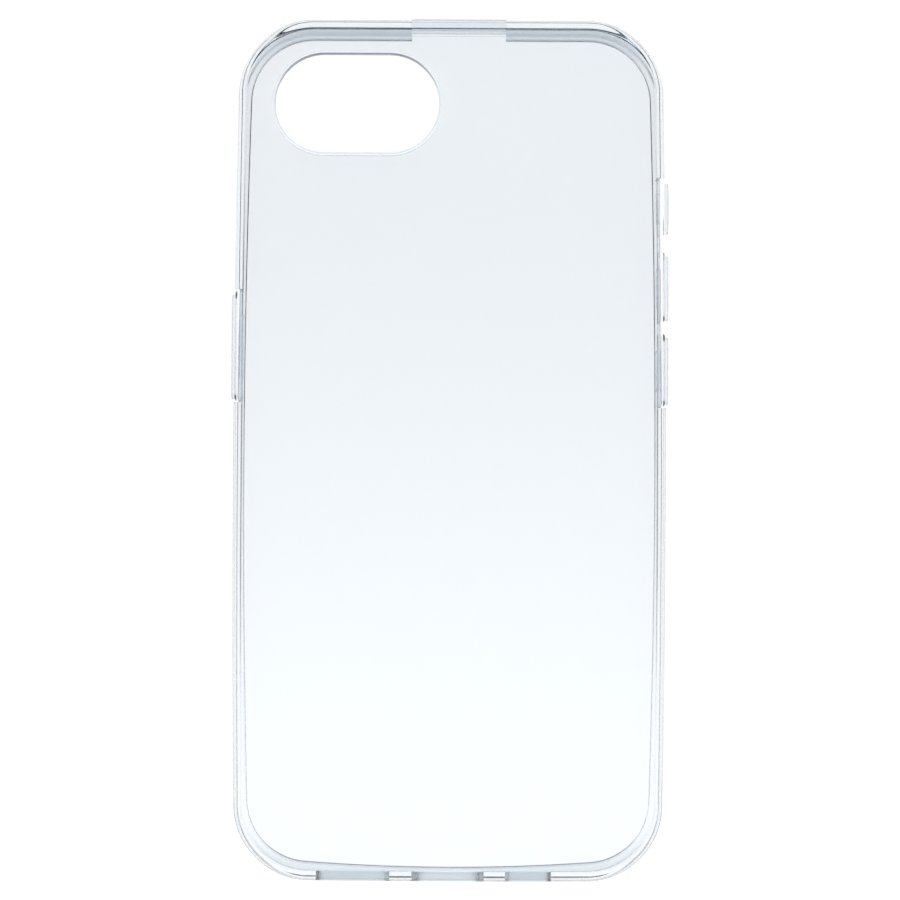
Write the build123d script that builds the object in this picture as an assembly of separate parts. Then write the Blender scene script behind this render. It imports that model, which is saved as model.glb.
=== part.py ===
from build123d import *

import math
import os

# Clear protective case for a 6.1 inch phone. It lies on its open side, so Z = 0 is the front rim,
# +Z points out of the back, +Y is the top of the phone and +X is to the right seen from behind.
# All lengths are in millimetres.

# The phone that the case holds
PHONE_LENGTH = 146.7
PHONE_WIDTH = 71.5
PHONE_DEPTH = 7.8

# Frame walls round the phone
END_GAP = 0.2
BACK_GAP = 0.1
END_WALL = 1.7
SIDE_WALL = 1.4
SIDE_SLACK = 0.65          # room beside the phone at mid-length, where the soft walls bow out
OUTER_CORNER = 13.3
OUTER_SIDE_BOW = 0.68      # how much wider each side is at mid-length than at the ends
CAVITY_SIDE_BOW = 0.8
BOTTOM_BOW = 0.25          # how far the bottom wall is crowned at its middle
WALL_DRAFT = 0.7           # how far the outer face leans in from the back down to the rim
BACK_ROUND = 0.75
FRONT_ROUND = 0.4

# Front lip that hooks over the phone's screen edge
LIP_DEPTH = 1.2
LIP_END_REACH = 0.7
LIP_SIDE_REACH = 0.3
LIP_SIDE_BOW = 1.25
LIP_BOTTOM_BOW = 1.8
LIP_ROUND = 0.4

# Rigid back plate, set in a rebate of the frame
PANEL_THICKNESS = 1.3
PANEL_STEP = 0.2           # the middle of the plate drops this far below its edge flange
PANEL_INSET = 1.3
BOND_LINE = 0.02           # bonded joints between the plate, the frame and the rim

# Camera cut-out and the rim that lines it
CAMERA_X = -16.4
CAMERA_Y = 60.4
CAMERA_LENGTH = 28.65
CAMERA_HEIGHT = 17.3
RIM_WALL = 0.6
RIM_PROUD = 0.4
RIM_ROUND = 0.22

# Trimmed moulding gate: a slightly proud pad on the top wall, with a gap in the lip behind it
GATE_X = 1.35
GATE_WIDTH = 16.6
GATE_PROUD = 0.35
GATE_DEPTH = 6.4
GATE_RECESS = 0.25
GATE_RECESS_DEPTH = 8.0
GATE_ROUND = 0.12

# Openings in the bottom wall: centre X, width, height
PORT_OPENING = (0.0, 12.6, 6.2)
SPEAKER_OPENING = (-16.5, 12.8, 3.4)
MICROPHONE_OPENING = (14.0, 8.0, 3.0)
MOUTH_ROUND = 0.2          # easing on both edges of each bottom opening

# Buttons: centre Y and pad length, on the left wall and on the right wall seen from behind
POWER = (17.95, 18.4)
ACTION = (42.6, 8.9)
VOLUME_UP = (28.6, 11.4)
VOLUME_DOWN = (14.0, 11.9)
PAD_HEIGHT = 3.2
PAD_PROUD = 0.55
PAD_ROUND = 0.3
PAD_CLEARANCE = 0.1        # gap round a pad in its slot
SKIN = 1.0                 # wall left outside the pocket that holds the flanges
FLANGE_MARGIN = 0.5
FLANGE_THICKNESS = 0.35
FLANGE_CORNER = 0.8
SEAT_GAP = 0.05
NUB_PROUD = 0.25
NUB_HEIGHT = 1.6
NUB_SHARE = 0.6            # length of the inner nub as a share of the pad's
POCKET_MARGIN = 0.7        # pocket past the pads' ends and edges

# Worked out from the dimensions above
CAVITY_LENGTH = PHONE_LENGTH + 2 * END_GAP
CAVITY_WIDTH = PHONE_WIDTH + 2 * SIDE_SLACK
CASE_LENGTH = CAVITY_LENGTH + 2 * END_WALL
CASE_WIDTH = CAVITY_WIDTH + 2 * SIDE_WALL
SEAT_Z = LIP_DEPTH + PHONE_DEPTH + BACK_GAP
BACK_Z = SEAT_Z + PANEL_THICKNESS
LEDGE_Z = SEAT_Z + PANEL_STEP
CAVITY_CORNER = OUTER_CORNER - (END_WALL + SIDE_WALL) / 2
MID_Z = LIP_DEPTH + PHONE_DEPTH / 2
POCKET_X = CASE_WIDTH / 2 - SKIN
PAD_FACE_X = CASE_WIDTH / 2 + PAD_PROUD
BEYOND = 2.0               # how far a cutter runs past the face it opens


def outline(length, width, corner, side_bow, bottom_bow=BOTTOM_BOW):
    """Rounded rectangle as wide as given at mid-length, with bowed long sides and bottom."""
    half_length = length / 2
    half_width = width / 2
    end_width = half_width - side_bow
    low = -half_length + bottom_bow
    right = ThreePointArc((end_width, low), (half_width, 0), (end_width, half_length))
    top = Line((end_width, half_length), (-end_width, half_length))
    left = ThreePointArc((-end_width, half_length), (-half_width, 0), (-end_width, low))
    bottom = ThreePointArc((-end_width, low), (0, -half_length), (end_width, low))
    face = make_face([right, top, left, bottom])
    return fillet(face.vertices(), corner)


def slab(sketch, low, high):
    """The sketch as a solid between two heights."""
    return extrude(Pos(0, 0, low) * sketch, high - low)


def block(low, high):
    """A box between two corners."""
    size = [b - a for a, b in zip(low, high)]
    middle = [(a + b) / 2 for a, b in zip(low, high)]
    return Pos(*middle) * Box(*size)


def edges_at(solid, height):
    """The edges that lie flat at one height."""
    return solid.edges().filter_by_position(Axis.Z, height, height)


def outer_outline():
    return outline(CASE_LENGTH, CASE_WIDTH, OUTER_CORNER, OUTER_SIDE_BOW)


def cavity_outline(inset=0.0):
    length = CAVITY_LENGTH - 2 * inset
    width = CAVITY_WIDTH - 2 * inset
    return outline(length, width, CAVITY_CORNER - inset, CAVITY_SIDE_BOW)


def lip_outline():
    length = CAVITY_LENGTH - 2 * LIP_END_REACH
    width = CAVITY_WIDTH - 2 * LIP_SIDE_REACH
    corner = CAVITY_CORNER - LIP_END_REACH
    return outline(length, width, corner, LIP_SIDE_BOW, LIP_BOTTOM_BOW)


def panel_outline(inset=0.0):
    length = CASE_LENGTH - 2 * (PANEL_INSET + inset)
    width = CASE_WIDTH - 2 * (PANEL_INSET + inset)
    return outline(length, width, OUTER_CORNER - PANEL_INSET - inset, OUTER_SIDE_BOW)


def camera_outline(margin=0.0):
    """The camera cut-out, grown by a margin all round."""
    slot = SlotOverall(CAMERA_LENGTH + 2 * margin, CAMERA_HEIGHT + 2 * margin)
    return Pos(CAMERA_X, CAMERA_Y) * slot


def wall_ring():
    """The four walls, drafted outside, and the lip, hollowed for the phone and back plate."""
    angle = math.degrees(math.atan2(WALL_DRAFT, BACK_Z))
    ring = extrude(Pos(0, 0, BACK_Z) * outer_outline(), BACK_Z, dir=(0, 0, -1), taper=angle)
    ring = fillet(edges_at(ring, BACK_Z), BACK_ROUND)
    ring -= slab(lip_outline(), -BEYOND, LIP_DEPTH)
    rim = ring.faces().sort_by(Axis.Z)[0]
    ring = fillet(rim.inner_wires()[0].edges(), LIP_ROUND)
    rim = ring.faces().sort_by(Axis.Z)[0]
    ring = fillet(rim.outer_wire().edges(), FRONT_ROUND)
    ring += gate_pad()
    ring -= slab(panel_outline(), LEDGE_Z, BACK_Z + BEYOND)
    return ring - slab(cavity_outline(), LIP_DEPTH, LEDGE_Z)


def gate_pad():
    """The proud pad where the gate was trimmed, on the top wall."""
    half = GATE_WIDTH / 2
    top = CASE_LENGTH / 2
    low = (GATE_X - half, top - END_WALL / 2, MID_Z - GATE_DEPTH / 2)
    high = (GATE_X + half, top + GATE_PROUD, MID_Z + GATE_DEPTH / 2)
    pad = block(low, high)
    outer_face = pad.faces().sort_by(Axis.Y)[-1]
    return fillet(outer_face.edges(), GATE_ROUND)


def gate_recess():
    """The gap in the lip behind the gate, carried up the inner wall as a shallow recess."""
    half = GATE_WIDTH / 2
    wall = CAVITY_LENGTH / 2
    low = (GATE_X - half, wall - BEYOND, -BEYOND)
    high = (GATE_X + half, wall + GATE_RECESS, GATE_RECESS_DEPTH)
    return block(low, high)


def bottom_opening(centre_x, width, height):
    """A round-ended passage through the bottom wall."""
    shape = Pos(centre_x, MID_Z) * SlotOverall(width, height)
    inner_plane = Plane.XZ.offset(CASE_LENGTH / 2 - 2 * BEYOND)
    return extrude(inner_plane * shape, 3 * BEYOND)


def mouth_edges(frame, centre_x, width, height):
    """The edges round one bottom opening, where it meets the wall's two faces."""
    half_width = width / 2 + MOUTH_ROUND
    half_height = height / 2 + MOUTH_ROUND
    picked = []
    for edge in frame.edges():
        middle = edge.center()
        beside = abs(middle.X - centre_x) < half_width and abs(middle.Z - MID_Z) < half_height
        on_face = min(
            abs(middle.Y + CASE_LENGTH / 2), abs(middle.Y + CASE_LENGTH / 2 - END_WALL)
        )
        if beside and on_face < BOTTOM_BOW + MOUTH_ROUND:
            picked.append(edge)
    return picked


def pad_sketch(button, margin=0.0):
    """A pad's round-ended outline on the YZ plane, grown by a margin all round."""
    centre_y, length = button
    slot = SlotOverall(length + 2 * margin, PAD_HEIGHT + 2 * margin)
    return Pos(centre_y, MID_Z) * slot


def button_slots(buttons):
    """The pocket inside a side wall with one slot through its skin for each pad."""
    low_y = min(y - length / 2 for y, length in buttons) - POCKET_MARGIN
    high_y = max(y + length / 2 for y, length in buttons) + POCKET_MARGIN
    half_height = PAD_HEIGHT / 2 + POCKET_MARGIN
    cavity_x = CAVITY_WIDTH / 2 - BEYOND
    cutter = block(
        (cavity_x, low_y, MID_Z - half_height), (POCKET_X, high_y, MID_Z + half_height)
    )
    for button in buttons:
        slot = Plane.YZ.offset(POCKET_X) * pad_sketch(button, PAD_CLEARANCE)
        cutter += extrude(slot, SKIN + BEYOND)
    return cutter


def button_solid(button):
    """One button on the right wall: pad outside, flange in the pocket, nub towards the phone."""
    centre_y, length = button
    flange_x = POCKET_X - SEAT_GAP
    pad = extrude(Plane.YZ.offset(flange_x) * pad_sketch(button), PAD_FACE_X - flange_x)
    pad = fillet(pad.faces().sort_by(Axis.X)[-1].edges(), PAD_ROUND)
    flange_shape = RectangleRounded(
        length + 2 * FLANGE_MARGIN, PAD_HEIGHT + 2 * FLANGE_MARGIN, FLANGE_CORNER
    )
    flange_plane = Plane.YZ.offset(flange_x - FLANGE_THICKNESS)
    flange = extrude(flange_plane * Pos(centre_y, MID_Z) * flange_shape, FLANGE_THICKNESS)
    nub_plane = Plane.YZ.offset(flange_x - FLANGE_THICKNESS - NUB_PROUD)
    nub_shape = SlotOverall(length * NUB_SHARE, NUB_HEIGHT)
    nub = extrude(nub_plane * Pos(centre_y, MID_Z) * nub_shape, NUB_PROUD)
    return pad + flange + nub


def left_side(solid):
    """A right-wall solid moved to the left wall."""
    return mirror(solid, Plane.YZ)


def bumper_frame():
    """Soft frame: four walls, front lip, gate marks, bottom openings and button slots."""
    frame = wall_ring() - gate_recess()
    for opening in (PORT_OPENING, SPEAKER_OPENING, MICROPHONE_OPENING):
        frame -= bottom_opening(*opening)
        frame = fillet(mouth_edges(frame, *opening), MOUTH_ROUND)
    frame -= button_slots([ACTION, VOLUME_UP, VOLUME_DOWN])
    frame -= left_side(button_slots([POWER]))
    return frame


def back_panel():
    """Rigid plate: an edge flange on the frame's ledge and a thicker middle over the phone."""
    flange_z = LEDGE_Z + BOND_LINE
    flange = slab(panel_outline(BOND_LINE), flange_z, BACK_Z)
    middle = slab(cavity_outline(BOND_LINE), SEAT_Z, flange_z)
    window = slab(camera_outline(RIM_WALL + BOND_LINE), SEAT_Z - BEYOND, BACK_Z + BEYOND)
    return flange + middle - window


def camera_rim():
    """Slim ring that lines the camera cut-out and stands proud of the back."""
    top_z = BACK_Z + RIM_PROUD
    ring = slab(camera_outline(RIM_WALL) - camera_outline(), SEAT_Z, top_z)
    return fillet(edges_at(ring, top_z), RIM_ROUND)


NODES = {
    "back_panel": back_panel,
    "bumper_frame": bumper_frame,
    "camera_rim": camera_rim,
    "power_button": lambda: left_side(button_solid(POWER)),
    "action_button": lambda: button_solid(ACTION),
    "volume_up_button": lambda: button_solid(VOLUME_UP),
    "volume_down_button": lambda: button_solid(VOLUME_DOWN),
}

os.makedirs("parts", exist_ok=True)
for name, make in NODES.items():
    export_step(make(), f"parts/{name}.step")
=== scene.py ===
import math

import bmesh
import bpy
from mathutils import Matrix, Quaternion, Vector

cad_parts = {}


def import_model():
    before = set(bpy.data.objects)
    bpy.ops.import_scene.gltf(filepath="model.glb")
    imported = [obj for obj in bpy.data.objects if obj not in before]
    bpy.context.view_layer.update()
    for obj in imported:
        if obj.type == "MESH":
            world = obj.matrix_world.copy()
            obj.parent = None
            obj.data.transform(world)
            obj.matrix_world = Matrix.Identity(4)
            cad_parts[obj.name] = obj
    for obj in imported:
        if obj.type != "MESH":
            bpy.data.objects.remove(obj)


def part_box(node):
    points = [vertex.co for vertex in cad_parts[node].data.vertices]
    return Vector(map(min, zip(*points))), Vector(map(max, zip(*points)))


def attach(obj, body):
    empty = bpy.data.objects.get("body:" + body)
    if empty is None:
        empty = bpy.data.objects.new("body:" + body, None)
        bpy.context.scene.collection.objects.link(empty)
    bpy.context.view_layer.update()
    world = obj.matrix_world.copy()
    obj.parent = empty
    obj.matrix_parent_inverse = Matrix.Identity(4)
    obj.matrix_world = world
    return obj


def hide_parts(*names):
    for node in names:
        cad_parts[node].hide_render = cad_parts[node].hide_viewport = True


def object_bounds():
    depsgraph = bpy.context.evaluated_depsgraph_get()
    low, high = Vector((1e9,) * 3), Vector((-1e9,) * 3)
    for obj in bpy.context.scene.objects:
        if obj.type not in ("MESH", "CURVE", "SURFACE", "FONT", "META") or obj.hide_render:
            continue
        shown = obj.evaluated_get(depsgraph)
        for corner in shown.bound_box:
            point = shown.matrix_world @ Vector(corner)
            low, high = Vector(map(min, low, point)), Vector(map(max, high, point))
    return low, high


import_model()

cad_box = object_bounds()

MM = 0.001


def size_of(node):
    """A CAD node's lowest and highest corners, in millimetres."""
    low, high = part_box(node)
    return low / MM, high / MM


# Sizes in millimetres, taken from the frame
FRAME_LOW, FRAME_HIGH = size_of("bumper_frame")
PANEL_LOW, PANEL_HIGH = size_of("back_panel")
RIM_LOW, RIM_HIGH = size_of("camera_rim")
BACK_Z = FRAME_HIGH.z
SEAT_Z = PANEL_LOW.z
CAMERA_CENTRE = ((RIM_LOW.x + RIM_HIGH.x) / 2, (RIM_LOW.y + RIM_HIGH.y) / 2)

# Walls, in millimetres. A round is its inset and its height. CORNER_Y is where the side walls'
# profile starts to turn into the end walls', and where it has done so.
PANEL_INSET = 1.3
PANEL_STEP = 0.2
BOND_LINE = 0.02
CASE_LENGTH = PANEL_HIGH.y - PANEL_LOW.y + 2 * (PANEL_INSET + BOND_LINE)
CASE_WIDTH = PANEL_HIGH.x - PANEL_LOW.x + 2 * (PANEL_INSET + BOND_LINE)
WIDEST_INSET = CASE_LENGTH / 2 + FRAME_LOW.y
END_WALL = 1.7
SIDE_WALL = 1.4
OUTER_CORNER = 13.3
OUTER_SIDE_BOW = 0.68
CAVITY_CORNER = OUTER_CORNER - (END_WALL + SIDE_WALL) / 2
CAVITY_SIDE_BOW = 0.8
BOTTOM_BOW = 0.25
END_BACK_ROUND = (0.62, 0.62)
END_FRONT_ROUND = (0.4, 0.8)
END_LEAN = 0.6
SIDE_BACK_ROUND = (1.2, 2.0)
SIDE_FRONT_ROUND = (0.7, 2.2)
SIDE_LEAN = 0.2
CORNER_Y = (71.5, 75.25)
LEDGE_Z = SEAT_Z + PANEL_STEP

# Front lip
LIP_DEPTH = 1.2
LIP_END_REACH = 0.7
LIP_SIDE_REACH = 0.3
LIP_SIDE_BOW = 1.25
LIP_BOTTOM_BOW = 1.8
LIP_ROUND = 0.5

# Middle height of the openings, pads and gate: that of a phone that rests on the lip
PHONE_PLAY = 0.1
OPENING_Z = LIP_DEPTH + (SEAT_Z - LIP_DEPTH) / 2 - PHONE_PLAY / 2

# Camera rim
RIM_WALL = 0.6
RIM_ROUND = 0.22

# Gate: the trimmed pad on the top wall and the gap in the lip behind it
GATE_X = 1.35
GATE_WIDTH = 16.6
GATE_HEIGHT = 6.4
GATE_PROUD = FRAME_HIGH.y - CASE_LENGTH / 2
GATE_GAP_DEPTH = 0.25
GATE_GAP_TOP = 8.0

# Openings in the bottom wall: centre X, width, height
BOTTOM_OPENINGS = [(0.0, 12.6, 6.2), (-16.5, 12.8, 3.4), (14.0, 8.0, 3.0)]

# Button pads and the pockets that hold them. The nub is the pad's inner end.
PAD_HEIGHT = 3.2
PAD_ROUND = 0.3
PAD_CROWN = 0.08
CROWN_SHARES = (0.3, 0.6, 0.9)
PAD_CLEARANCE = 0.1
SKIN = 1.0
FLANGE_MARGIN = 0.5
FLANGE_THICKNESS = 0.35
FLANGE_CORNER = 0.8
NUB_PROUD = 0.25
NUB_HEIGHT = 1.6
NUB_SHARE = 0.6
POCKET_MARGIN = 0.7
POCKET_X = CASE_WIDTH / 2 - SKIN
SLOT_START = 0.3
BUTTON_SIDES = [
    ["power_button"],
    ["action_button", "volume_up_button", "volume_down_button"],
]
BUTTON_BODIES = {
    "power_button": "power",
    "action_button": "action",
    "volume_up_button": "volume_up",
    "volume_down_button": "volume_down",
}

# Mesh density, how far cutters reach past a wall, and weld distances, in millimetres
SIDE_STEPS = 36
END_STEPS = 12
CORNER_STEPS = 40
ROUND_STEPS = 10
SMALL_ROUND_STEPS = 6
SLOT_STEPS = 16
WINDOW_STEPS = 48
BEYOND = 2.0
WELD = 1e-4
HOLE_WELD = 1e-5
LEVEL_MARGIN = 1e-6
SHARP_ANGLE = math.radians(32)
NORMAL_WEIGHT = 100

# Camera
CAMERA_DISTANCE = 0.80
CAMERA_TILT = math.radians(3.8)
CAMERA_ROLL = math.radians(0.27)
AIM_X = 0.1 * MM
AIM_Y = -0.21 * MM
VIEW_WIDTH = 157.7 * MM
SENSOR = 36.0
CLIP_START = 0.01
CLIP_END = 50

# Studio. Four limits are where a band starts to rise, is full, starts to fall and is over: in
# metres on the floor, and in the sky as the parts of a direction of length 1. The side light
# is the opposite of its band, so it is off in the middle.
FLOOR_SIZE = 6.0
FLOOR_COLOUR = (0.25, 0.25, 0.25)
FLOOR_ROUGHNESS = 0.9
FLOOR_DROP = 0.0003
FLOOR_GLOW = 0.95
FLOOR_FAR_GLOW = 0.6
POOL_X = (-0.13, -0.1, 0.1, 0.13)
POOL_Y = (-0.12, -0.09, 0.105, 0.135)
SKY_DARK = 0.05
SKY_BRIGHT = 2.4
SOFTBOX_X = (-0.6, -0.35, 0.35, 0.6)
SOFTBOX_Y = (-0.6, -0.35, -0.05, 0.13)
SIDE_BRIGHT = 1.0
SIDE_X = (-0.9, -0.7, 0.7, 0.9)
LIGHT_BOUNCES = 32

# Material slots: the frame has the first four, the fourth satin with painted shade, and the rim's
# third is its inner wall with painted shade
MAIN = 0
BOND = 1
FROST = 2
SATIN_SHADED = 3
RIM_SHADED = 2

# Clear plastics: a tint is the colour and density of the absorption inside
IOR = 1.5
WHITE = (1, 1, 1)
HARD_TINT = ((0.7, 0.85, 1.0), 12)
HARD_COLOUR = (0.865, 0.9, 0.93)
HARD_ROUGHNESS = 0.0
SOFT_TINT = ((0.76, 0.84, 0.9), 45)
SOFT_ROUGHNESS = 0.02
FROST_COLOUR = (0.84, 0.89, 0.92)
FROST_ROUGHNESS = 0.5
PAD_COLOUR = (0.86, 0.9, 0.94)
PAD_ROUGHNESS = 0.15

# The frame's inner wall turns satin and darker with painted shade towards both ends, and the rim's
# inner wall turns darker with painted shade towards the top end, between these distances from the
# middle in metres
SATIN_SHADE_Y = (0.064, 0.0755)
SATIN_SHADE_COLOUR = (0.62, 0.67, 0.72)
SATIN_ROUGHNESS = 0.3
RIM_SHADE_Y = (0.0605, 0.069)
RIM_SHADE_COLOUR = (0.22, 0.22, 0.3)
RIM_SHADE_ROUGHNESS = 0.2


def quarter_turns(steps):
    """Angles through a quarter turn, with both ends."""
    return [i / steps * math.pi / 2 for i in range(steps + 1)]


def arc(centre, radius, start, end, steps):
    """Points along an arc, without its last."""
    angles = [start + (end - start) * i / steps for i in range(steps)]
    return [(centre[0] + radius * math.cos(a), centre[1] + radius * math.sin(a)) for a in angles]


def outline(length, width, corner, side_bow, bottom_bow=BOTTOM_BOW):
    """Rounded rectangle as wide as given at its widest, with bowed long sides and bottom."""
    half_length = length / 2
    half_width = width / 2
    end_width = half_width - side_bow
    mid = bottom_bow / 2
    side_x = (half_width**2 - end_width**2 + mid**2 - (half_length - mid) ** 2) / (2 * side_bow)
    side = (side_x, mid)
    side_radius = math.hypot(half_width - side_x, mid)
    bottom_radius = (end_width**2 + bottom_bow**2) / (2 * bottom_bow)
    bottom = (0.0, bottom_radius - half_length)

    # A corner's centre is its radius inside both of the lines that it joins
    top_y = half_length - corner
    top_x = side_x + math.sqrt((side_radius - corner) ** 2 - (top_y - mid) ** 2)
    from_side = side_radius - corner
    from_bottom = bottom_radius - corner
    gap = math.dist(side, bottom)
    along = (from_side**2 - from_bottom**2 + gap**2) / (2 * gap)
    across = math.sqrt(from_side**2 - along**2)
    ux = (bottom[0] - side[0]) / gap
    uy = (bottom[1] - side[1]) / gap
    low_x = side[0] + along * ux + across * uy
    low_y = side[1] + along * uy - across * ux

    bottom_angle = math.atan2(low_y - bottom[1], low_x - bottom[0])
    low_angle = math.atan2(low_y - side[1], low_x - side[0])
    high_angle = math.atan2(top_y - side[1], top_x - side[0])
    quarter = math.pi / 2
    right = arc(bottom, bottom_radius, -quarter, bottom_angle, END_STEPS)
    right += arc((low_x, low_y), corner, bottom_angle, low_angle, CORNER_STEPS)
    right += arc(side, side_radius, low_angle, high_angle, SIDE_STEPS)
    right += arc((top_x, top_y), corner, high_angle, quarter, CORNER_STEPS)
    right += [(top_x * (1 - i / END_STEPS), half_length) for i in range(END_STEPS + 1)]
    left = [(-x, y) for x, y in reversed(right[1:-1])]
    return right + left


def outer(inset=0.0):
    """The case's outline, moved in by an inset."""
    length = CASE_LENGTH - 2 * inset
    width = CASE_WIDTH - 2 * inset
    return outline(length, width, OUTER_CORNER - inset, OUTER_SIDE_BOW)


def cavity(inset=0.0):
    """The phone pocket's outline, moved in by an inset."""
    length = CASE_LENGTH - 2 * (END_WALL + inset)
    width = CASE_WIDTH - 2 * (SIDE_WALL + inset)
    return outline(length, width, CAVITY_CORNER - inset, CAVITY_SIDE_BOW)


def lip(growth=0.0):
    """The lip's inner outline, moved out by a growth."""
    length = CASE_LENGTH - 2 * (END_WALL + LIP_END_REACH - growth)
    width = CASE_WIDTH - 2 * (SIDE_WALL + LIP_SIDE_REACH - growth)
    corner = CAVITY_CORNER - LIP_END_REACH + growth
    return outline(length, width, corner, LIP_SIDE_BOW, LIP_BOTTOM_BOW)


def rounded(length, height, corner, centre, steps=SLOT_STEPS):
    """A rounded rectangle, or a round-ended slot where the corner is half the height."""
    points = []
    corner = min(corner, height / 2, length / 2)
    for turn, (sx, sy) in enumerate(((1, -1), (1, 1), (-1, 1), (-1, -1))):
        middle = (
            centre[0] + sx * (length / 2 - corner),
            centre[1] + sy * (height / 2 - corner),
        )
        start = (turn - 1) * math.pi / 2
        end = start + math.pi / 2
        points += arc(middle, corner, start, end, steps)
        points.append((middle[0] + corner * math.cos(end), middle[1] + corner * math.sin(end)))
    return points


def window(margin=0.0):
    """The camera cut-out, grown by a margin all round."""
    length = RIM_HIGH.x - RIM_LOW.x - 2 * RIM_WALL + 2 * margin
    height = RIM_HIGH.y - RIM_LOW.y - 2 * RIM_WALL + 2 * margin
    return rounded(length, height, height / 2, CAMERA_CENTRE, WINDOW_STEPS)


def flat(points, z):
    """An (X, Y) outline at one height."""
    return [(x, y, z) for x, y in points]


def upright(points, x):
    """A (Y, Z) outline at one X."""
    return [(x, y, z) for y, z in points]


def join_rings(mesh, first, second, slot=MAIN):
    """A band of quads between two rings of the same count."""
    count = len(first)
    for i in range(count):
        j = (i + 1) % count
        face = mesh.faces.new((first[i], first[j], second[j], second[i]))
        face.material_index = slot


def loft(mesh, rings, slots=None, closed=False):
    """Bands between rings in order; slots gives each band's material."""
    made = [[mesh.verts.new(point) for point in ring] for ring in rings]
    pairs = list(zip(made, made[1:]))
    if closed:
        pairs.append((made[-1], made[0]))
    for index, (first, second) in enumerate(pairs):
        join_rings(mesh, first, second, slots[index] if slots else MAIN)
    return made


def finish_mesh(mesh, name):
    """The mesh, built in millimetres, as an object in metres with its faces turned outward."""
    bmesh.ops.remove_doubles(mesh, verts=mesh.verts, dist=WELD)
    bmesh.ops.recalc_face_normals(mesh, faces=mesh.faces)
    bmesh.ops.scale(mesh, vec=(MM, MM, MM), verts=mesh.verts)
    data = bpy.data.meshes.new(name)
    mesh.to_mesh(data)
    mesh.free()
    piece = bpy.data.objects.new(name, data)
    bpy.context.scene.collection.objects.link(piece)
    return piece


def capped(rings, name, slot=MAIN):
    """A solid lofted through rings and closed at both ends, all in one material slot."""
    mesh = bmesh.new()
    made = loft(mesh, rings)
    mesh.faces.new(made[0])
    mesh.faces.new(made[-1])
    for face in mesh.faces:
        face.material_index = slot
    return finish_mesh(mesh, name)


def box_tool(low, high, slot=MAIN):
    """A box between two corners, for cutting or joining."""
    rings = []
    for z in (low[2], high[2]):
        corners = [(low[0], low[1]), (high[0], low[1]), (high[0], high[1]), (low[0], high[1])]
        rings.append(flat(corners, z))
    return capped(rings, "tool", slot)


def apply_modifiers(piece):
    """Replaces the piece's mesh with the one that its modifiers make."""
    graph = bpy.context.evaluated_depsgraph_get()
    data = bpy.data.meshes.new_from_object(piece.evaluated_get(graph))
    piece.modifiers.clear()
    piece.data = data


def combine(piece, tool, operation):
    """Cuts or joins a tool into the piece and removes the tool."""
    step = piece.modifiers.new("step", "BOOLEAN")
    step.operation = operation
    step.object = tool
    step.solver = "EXACT"
    apply_modifiers(piece)
    bpy.data.objects.remove(tool)


def smooth(piece):
    """Smooth shading with sharp corners kept, and flat faces kept flat beside rounds."""
    bpy.ops.object.select_all(action="DESELECT")
    piece.select_set(True)
    bpy.context.view_layer.objects.active = piece
    bpy.ops.object.shade_smooth_by_angle(angle=SHARP_ANGLE, keep_sharp_edges=True)
    weighted = piece.modifiers.new("weighted", "WEIGHTED_NORMAL")
    weighted.keep_sharp = True
    weighted.weight = NORMAL_WEIGHT
    apply_modifiers(piece)


def outer_ring(ends, sides):
    """A ring on the outer face, from an (inset, height) for the end walls and one for the sides."""
    ring = []
    for (x0, y0), (x1, y1) in zip(outer(ends[0]), outer(sides[0])):
        share = (abs(y0) - CORNER_Y[0]) / (CORNER_Y[1] - CORNER_Y[0])
        share = min(max(share, 0.0), 1.0)
        share = share * share * (3 - 2 * share)
        x = x1 + share * (x0 - x1)
        y = y1 + share * (y0 - y1)
        z = sides[1] + share * (ends[1] - sides[1])
        ring.append((x, y, z))
    return ring


def back_round(size, turn):
    """Inset and height on the round between the wall and the back."""
    inset = WIDEST_INSET + size[0] * (1 - math.sin(turn))
    return inset, BACK_Z - size[1] * (1 - math.cos(turn))


def front_round(size, lean, turn):
    """Inset and height on the round between the wall and the front rim."""
    return lean + size[0] * (1 - math.cos(turn)), size[1] * (1 - math.sin(turn))


def frame_profile():
    """Rings round the soft frame's wall, and the material slot of the band after each."""
    steps = [(flat(outer(PANEL_INSET), BACK_Z), MAIN)]
    for t in quarter_turns(ROUND_STEPS):
        ring = outer_ring(back_round(END_BACK_ROUND, t), back_round(SIDE_BACK_ROUND, t))
        steps.append((ring, MAIN))
    for t in quarter_turns(ROUND_STEPS):
        ends = front_round(END_FRONT_ROUND, END_LEAN, t)
        sides = front_round(SIDE_FRONT_ROUND, SIDE_LEAN, t)
        steps.append((outer_ring(ends, sides), MAIN))
    # The lip's round and inner face are satin, with painted shade darkening them towards both ends
    for t in quarter_turns(ROUND_STEPS):
        ring = flat(lip(LIP_ROUND * (1 - math.sin(t))), LIP_ROUND * (1 - math.cos(t)))
        steps.append((ring, SATIN_SHADED))
    steps.append((flat(lip(), LIP_DEPTH), SATIN_SHADED))
    steps.append((flat(cavity(), LIP_DEPTH), SATIN_SHADED))
    steps.append((flat(cavity(), SEAT_Z), BOND))
    steps.append((flat(cavity(), LEDGE_Z), BOND))
    steps.append((flat(outer(PANEL_INSET), LEDGE_Z), BOND))
    return [ring for ring, _ in steps], [slot for _, slot in steps]


def add_gate(piece):
    """Joins the gate's pad to the top wall and cuts the gap in the lip behind it."""
    top = CASE_LENGTH / 2
    wall = top - END_WALL
    left = GATE_X - GATE_WIDTH / 2
    right = GATE_X + GATE_WIDTH / 2
    pad_low = (left, top - END_WALL / 2, OPENING_Z - GATE_HEIGHT / 2)
    pad_high = (right, top + GATE_PROUD, OPENING_Z + GATE_HEIGHT / 2)
    combine(piece, box_tool(pad_low, pad_high, FROST), "UNION")
    gap_low = (left, wall - BEYOND, -BEYOND)
    gap_high = (right, wall + GATE_GAP_DEPTH, GATE_GAP_TOP)
    combine(piece, box_tool(gap_low, gap_high), "DIFFERENCE")


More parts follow.
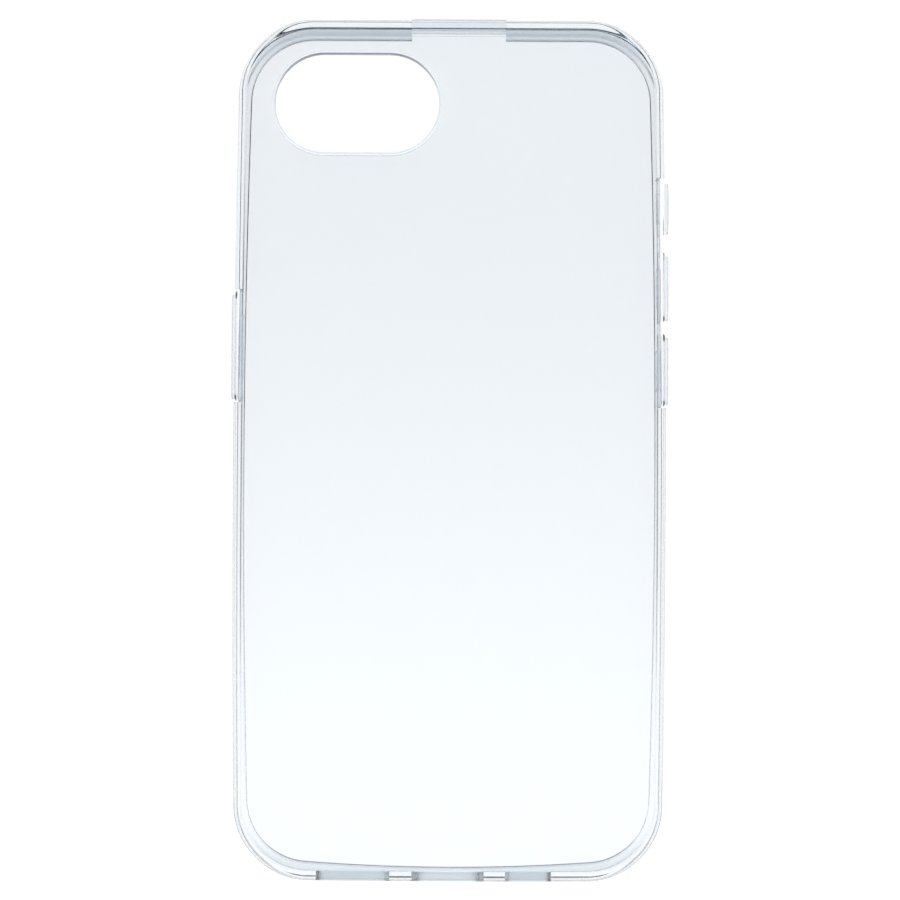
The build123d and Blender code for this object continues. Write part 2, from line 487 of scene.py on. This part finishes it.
def cut_passage(piece, centre_x, width, height):
    """Cuts one opening through the bottom wall."""
    shape = rounded(width, height, height / 2, (centre_x, OPENING_Z))
    wall = -CASE_LENGTH / 2
    rings = []
    for y in (wall - BEYOND, wall + END_WALL + BEYOND):
        rings.append([(x, y, z) for x, z in shape])
    combine(piece, capped(rings, "tool", FROST), "DIFFERENCE")


def cut_button_side(piece, nodes):
    """Cuts one side's pocket, which the pads on that side share, and then each pad's slot."""
    boxes = [size_of(node) for node in nodes]
    sign = 1 if boxes[0][1].x > 0 else -1
    low_y = min(low.y for low, _ in boxes) + FLANGE_MARGIN - POCKET_MARGIN
    high_y = max(high.y for _, high in boxes) - FLANGE_MARGIN + POCKET_MARGIN
    half_height = PAD_HEIGHT / 2 + POCKET_MARGIN
    low_x, high_x = sorted((sign * (CASE_WIDTH / 2 - SIDE_WALL - BEYOND), sign * POCKET_X))
    pocket_low = (low_x, low_y, OPENING_Z - half_height)
    pocket_high = (high_x, high_y, OPENING_Z + half_height)
    combine(piece, box_tool(pocket_low, pocket_high), "DIFFERENCE")
    for low, high in boxes:
        length = high.y - low.y - 2 * FLANGE_MARGIN + 2 * PAD_CLEARANCE
        height = PAD_HEIGHT + 2 * PAD_CLEARANCE
        corner = PAD_HEIGHT / 2 + PAD_CLEARANCE
        shape = rounded(length, height, corner, ((low.y + high.y) / 2, OPENING_Z))
        rings = [upright(shape, sign * x) for x in (POCKET_X - SLOT_START, POCKET_X + BEYOND)]
        combine(piece, capped(rings, "tool"), "DIFFERENCE")


def build_frame():
    """The soft frame: walls, lip, gate, bottom openings, and pockets and slots for the pads."""
    mesh = bmesh.new()
    rings, slots = frame_profile()
    loft(mesh, rings, slots, closed=True)
    piece = finish_mesh(mesh, "soft_frame")
    add_gate(piece)
    for opening in BOTTOM_OPENINGS:
        cut_passage(piece, *opening)
    for nodes in BUTTON_SIDES:
        cut_button_side(piece, nodes)
    return piece


def build_panel():
    """The rigid back plate: a stepped edge, the camera cut-out and two flat faces."""
    mesh = bmesh.new()
    flange_z = LEDGE_Z + BOND_LINE
    rings = [
        flat(outer(PANEL_INSET + BOND_LINE), BACK_Z),
        flat(outer(PANEL_INSET + BOND_LINE), flange_z),
        flat(cavity(BOND_LINE), flange_z),
        flat(cavity(BOND_LINE), SEAT_Z),
    ]
    loft(mesh, rings, [BOND, BOND, BOND])
    opening = window(RIM_WALL + BOND_LINE)
    hole = loft(mesh, [flat(opening, BACK_Z), flat(opening, SEAT_Z)], [BOND])
    bmesh.ops.remove_doubles(mesh, verts=[v for ring in hole for v in ring], dist=HOLE_WELD)
    for level in (BACK_Z, SEAT_Z):
        loose = []
        for edge in mesh.edges:
            at_level = all(abs(v.co.z - level) < LEVEL_MARGIN for v in edge.verts)
            if len(edge.link_faces) == 1 and at_level:
                loose.append(edge)
        bmesh.ops.triangle_fill(mesh, edges=loose, use_beauty=True)
    return finish_mesh(mesh, "rigid_back")


def build_rim():
    """The rim round the camera cut-out, rounded on both sides of its top."""
    mesh = bmesh.new()
    top = RIM_HIGH.z
    rings = [flat(window(RIM_WALL), SEAT_Z), flat(window(RIM_WALL), BACK_Z)]
    slots = [BOND, MAIN]
    for t in quarter_turns(SMALL_ROUND_STEPS):
        shape = window(RIM_WALL - RIM_ROUND * (1 - math.cos(t)))
        rings.append(flat(shape, top - RIM_ROUND * (1 - math.sin(t))))
        slots.append(MAIN)
    # The inner round and wall take the slot with painted shade
    for t in quarter_turns(SMALL_ROUND_STEPS):
        shape = window(RIM_ROUND * (1 - math.sin(t)))
        rings.append(flat(shape, top - RIM_ROUND * (1 - math.cos(t))))
        slots.append(RIM_SHADED)
    rings.append(flat(window(), SEAT_Z))
    slots.append(MAIN)
    loft(mesh, rings, slots, closed=True)
    return finish_mesh(mesh, "window_rim")


def build_button(node, name):
    """A pad with a rounded, slightly crowned face, its flange and its nub."""
    low, high = size_of(node)
    sign = 1 if high.x > 0 else -1
    face_x = max(abs(low.x), abs(high.x))
    nub_x = min(abs(low.x), abs(high.x))
    length = high.y - low.y - 2 * FLANGE_MARGIN
    centre = ((low.y + high.y) / 2, (low.z + high.z) / 2)
    flange_in = nub_x + NUB_PROUD
    flange_out = flange_in + FLANGE_THICKNESS
    flange_height = PAD_HEIGHT + 2 * FLANGE_MARGIN
    nub = rounded(length * NUB_SHARE, NUB_HEIGHT, NUB_HEIGHT / 2, centre)
    flange = rounded(length + 2 * FLANGE_MARGIN, flange_height, FLANGE_CORNER, centre)

    def pad(inset, x):
        height = PAD_HEIGHT - 2 * inset
        return upright(rounded(length - 2 * inset, height, height / 2, centre), sign * x)

    rings = [
        upright(nub, sign * nub_x),
        upright(nub, sign * flange_in),
        upright(flange, sign * flange_in),
        upright(flange, sign * flange_out),
        pad(0, flange_out),
    ]
    for t in quarter_turns(SMALL_ROUND_STEPS):
        edge_x = face_x - PAD_CROWN - PAD_ROUND * (1 - math.sin(t))
        rings.append(pad(PAD_ROUND * (1 - math.cos(t)), edge_x))
    for share in CROWN_SHARES:
        inset = PAD_ROUND + share * (PAD_HEIGHT / 2 - PAD_ROUND)
        rings.append(pad(inset, face_x - PAD_CROWN * (1 - share) ** 2))
    return capped(rings, name)


def principled(name, **values):
    """A new material and its Principled shader, with plain socket values set."""
    material = bpy.data.materials.new(name)
    material.use_nodes = True
    shader = material.node_tree.nodes["Principled BSDF"]
    for socket, value in values.items():
        shader.inputs[socket.replace("_", " ")].default_value = value
    return material, shader


def tinted_inside(material, tint, density):
    """Absorption inside a clear piece, so that light takes the tint as it goes through."""
    tree = material.node_tree
    volume = tree.nodes.new("ShaderNodeVolumeAbsorption")
    volume.inputs["Color"].default_value = (*tint, 1)
    volume.inputs["Density"].default_value = density
    tree.links.new(volume.outputs["Volume"], tree.nodes["Material Output"].inputs["Volume"])


def clear_plastic(name, roughness, tint, colour=WHITE):
    """A clear plastic with a colour on its surface and a tint inside."""
    material, _ = principled(
        name, Base_Color=(*colour, 1), Roughness=roughness, IOR=IOR, Transmission_Weight=1.0
    )
    tinted_inside(material, *tint)
    return material


def bonded_face(name, tint):
    """A face that is glued or moulded to the next piece, so that light crosses it unbent."""
    material = bpy.data.materials.new(name)
    material.use_nodes = True
    tree = material.node_tree
    tree.nodes.remove(tree.nodes["Principled BSDF"])
    through = tree.nodes.new("ShaderNodeBsdfTransparent")
    tree.links.new(through.outputs[0], tree.nodes["Material Output"].inputs["Surface"])
    tinted_inside(material, *tint)
    return material


def fade_along(material, limits, near, far, both_ends=False):
    """Turns one (colour, roughness) into another between two Y, or two distances either way."""
    tree = material.node_tree
    shader = tree.nodes["Principled BSDF"]
    coords = tree.nodes.new("ShaderNodeTexCoord")
    split = tree.nodes.new("ShaderNodeSeparateXYZ")
    tree.links.new(coords.outputs["Object"], split.inputs[0])
    along = split.outputs["Y"]
    if both_ends:
        distance = tree.nodes.new("ShaderNodeMath")
        distance.operation = "ABSOLUTE"
        tree.links.new(along, distance.inputs[0])
        along = distance.outputs[0]
    share = tree.nodes.new("ShaderNodeMapRange")
    share.interpolation_type = "SMOOTHSTEP"
    share.inputs["From Min"].default_value = limits[0]
    share.inputs["From Max"].default_value = limits[1]
    tree.links.new(along, share.inputs["Value"])
    colour = tree.nodes.new("ShaderNodeMix")
    colour.data_type = "RGBA"
    colour.inputs["A"].default_value = (*near[0], 1)
    colour.inputs["B"].default_value = (*far[0], 1)
    tree.links.new(share.outputs["Result"], colour.inputs["Factor"])
    tree.links.new(colour.outputs["Result"], shader.inputs["Base Color"])
    roughness = tree.nodes.new("ShaderNodeMapRange")
    roughness.inputs["To Min"].default_value = near[1]
    roughness.inputs["To Max"].default_value = far[1]
    tree.links.new(share.outputs["Result"], roughness.inputs["Value"])
    tree.links.new(roughness.outputs["Result"], shader.inputs["Roughness"])


def band(tree, value, outer_low, inner_low, inner_high, outer_high):
    """1 between the inner limits, falling smoothly to 0 at the outer ones."""
    product = tree.nodes.new("ShaderNodeMath")
    product.operation = "MULTIPLY"
    for index, (start, end) in enumerate(((outer_low, inner_low), (outer_high, inner_high))):
        ramp = tree.nodes.new("ShaderNodeMapRange")
        ramp.interpolation_type = "SMOOTHSTEP"
        ramp.inputs["From Min"].default_value = start
        ramp.inputs["From Max"].default_value = end
        tree.links.new(value, ramp.inputs["Value"])
        tree.links.new(ramp.outputs["Result"], product.inputs[index])
    return product.outputs[0]


def level_inside(tree, split, limits_x, limits_y, outside, inside):
    """A level that goes smoothly from outside to inside the rectangle that two bands make."""
    both = tree.nodes.new("ShaderNodeMath")
    both.operation = "MULTIPLY"
    tree.links.new(band(tree, split.outputs["X"], *limits_x), both.inputs[0])
    tree.links.new(band(tree, split.outputs["Y"], *limits_y), both.inputs[1])
    level = tree.nodes.new("ShaderNodeMapRange")
    level.inputs["To Min"].default_value = outside
    level.inputs["To Max"].default_value = inside
    tree.links.new(both.outputs[0], level.inputs["Value"])
    return level.outputs["Result"]


def world():
    """A dim studio with a large softbox above, towards the bottom end, and two bright sides."""
    sky = bpy.data.worlds.new("studio")
    bpy.context.scene.world = sky
    sky.use_nodes = True
    tree = sky.node_tree
    background = tree.nodes["Background"]
    coords = tree.nodes.new("ShaderNodeTexCoord")
    split = tree.nodes.new("ShaderNodeSeparateXYZ")
    tree.links.new(coords.outputs["Generated"], split.inputs[0])
    softbox = level_inside(tree, split, SOFTBOX_X, SOFTBOX_Y, SKY_DARK, SKY_BRIGHT)
    sides = tree.nodes.new("ShaderNodeMapRange")
    sides.inputs["To Min"].default_value = SIDE_BRIGHT
    sides.inputs["To Max"].default_value = 0.0
    tree.links.new(band(tree, split.outputs["X"], *SIDE_X), sides.inputs["Value"])
    total = tree.nodes.new("ShaderNodeMath")
    total.operation = "ADD"
    tree.links.new(softbox, total.inputs[0])
    tree.links.new(sides.outputs["Result"], total.inputs[1])
    tree.links.new(total.outputs[0], background.inputs["Strength"])
    background.inputs["Color"].default_value = (*WHITE, 1)


def floor():
    """A plain pale floor that glows evenly under and round the case, and less beyond."""
    bpy.ops.mesh.primitive_plane_add(size=FLOOR_SIZE)
    plane = bpy.context.object
    plane.name = "floor"
    plane.location.z = -FLOOR_DROP
    material, shader = principled(
        "pale_floor", Base_Color=(*FLOOR_COLOUR, 1), Roughness=FLOOR_ROUGHNESS,
        Emission_Color=(*WHITE, 1),
    )
    tree = material.node_tree
    coords = tree.nodes.new("ShaderNodeTexCoord")
    split = tree.nodes.new("ShaderNodeSeparateXYZ")
    tree.links.new(coords.outputs["Object"], split.inputs[0])
    glow = level_inside(tree, split, POOL_X, POOL_Y, FLOOR_FAR_GLOW, FLOOR_GLOW)
    tree.links.new(glow, shader.inputs["Emission Strength"])
    plane.data.materials.append(material)


def camera():
    """The photograph's view: above the back, leaning a little and turned a little."""
    low, high = cad_box
    target = (low + high) / 2 + Vector((AIM_X, AIM_Y, 0))
    data = bpy.data.cameras.new("camera")
    data.sensor_width = SENSOR
    data.lens = SENSOR * CAMERA_DISTANCE / VIEW_WIDTH
    data.clip_start = CLIP_START
    data.clip_end = CLIP_END
    cam = bpy.data.objects.new("camera", data)
    bpy.context.scene.collection.objects.link(cam)
    back = Vector((0, -math.sin(CAMERA_TILT), math.cos(CAMERA_TILT)))
    roll = Quaternion((0, 0, 1), CAMERA_ROLL)
    cam.location = target + back * CAMERA_DISTANCE
    cam.rotation_mode = "QUATERNION"
    cam.rotation_quaternion = (-back).to_track_quat("-Z", "Y") @ roll
    bpy.context.scene.camera = cam


def place(piece, body, node, materials):
    """Gives a finished piece its materials and smooth shading, attaches it to its body and hides
    its CAD node.
    """
    for material in materials:
        piece.data.materials.append(material)
    smooth(piece)
    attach(piece, body)
    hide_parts(node)


def main():
    world()
    floor()
    camera()
    scene = bpy.context.scene
    scene.view_settings.view_transform = "Standard"
    scene.cycles.max_bounces = LIGHT_BOUNCES
    scene.cycles.transmission_bounces = LIGHT_BOUNCES
    scene.cycles.transparent_max_bounces = LIGHT_BOUNCES

    hard = clear_plastic("clear_polycarbonate", HARD_ROUGHNESS, HARD_TINT, HARD_COLOUR)
    hard_bond = bonded_face("bonded_polycarbonate", HARD_TINT)
    soft = clear_plastic("clear_soft_frame", SOFT_ROUGHNESS, SOFT_TINT)
    soft_bond = bonded_face("bonded_soft_frame", SOFT_TINT)
    frost = clear_plastic("trimmed_gate", FROST_ROUGHNESS, SOFT_TINT, FROST_COLOUR)
    # Lip and inner wall: satin roughness, and painted shade that darkens the colour towards both
    # ends
    satin_shaded_wall = clear_plastic("satin_painted_shade_inner_wall", SATIN_ROUGHNESS, SOFT_TINT)
    satin_and_painted_shade = (SATIN_SHADE_COLOUR, SATIN_ROUGHNESS)
    fade_along(satin_shaded_wall, SATIN_SHADE_Y, (WHITE, SOFT_ROUGHNESS), satin_and_painted_shade, both_ends=True)
    rim = clear_plastic("clear_soft_rim", SOFT_ROUGHNESS, SOFT_TINT, HARD_COLOUR)
    # The rim's inner wall: satin roughness, and painted shade that darkens it towards the top end
    rim_wall = clear_plastic("satin_painted_shade_rim_wall", RIM_SHADE_ROUGHNESS, SOFT_TINT)
    rim_shade = (RIM_SHADE_COLOUR, RIM_SHADE_ROUGHNESS)
    fade_along(rim_wall, RIM_SHADE_Y, (HARD_COLOUR, SOFT_ROUGHNESS), rim_shade)
    pad = clear_plastic("clear_soft_pad", PAD_ROUGHNESS, SOFT_TINT, PAD_COLOUR)

    frame_finish = [soft, soft_bond, frost, satin_shaded_wall]
    place(build_frame(), "case", "bumper_frame", frame_finish)
    place(build_panel(), "case", "back_panel", [hard, hard_bond])
    place(build_rim(), "case", "camera_rim", [rim, soft_bond, rim_wall])
    for node, body in BUTTON_BODIES.items():
        place(build_button(node, node + "_pad"), body, node, [pad])


main()
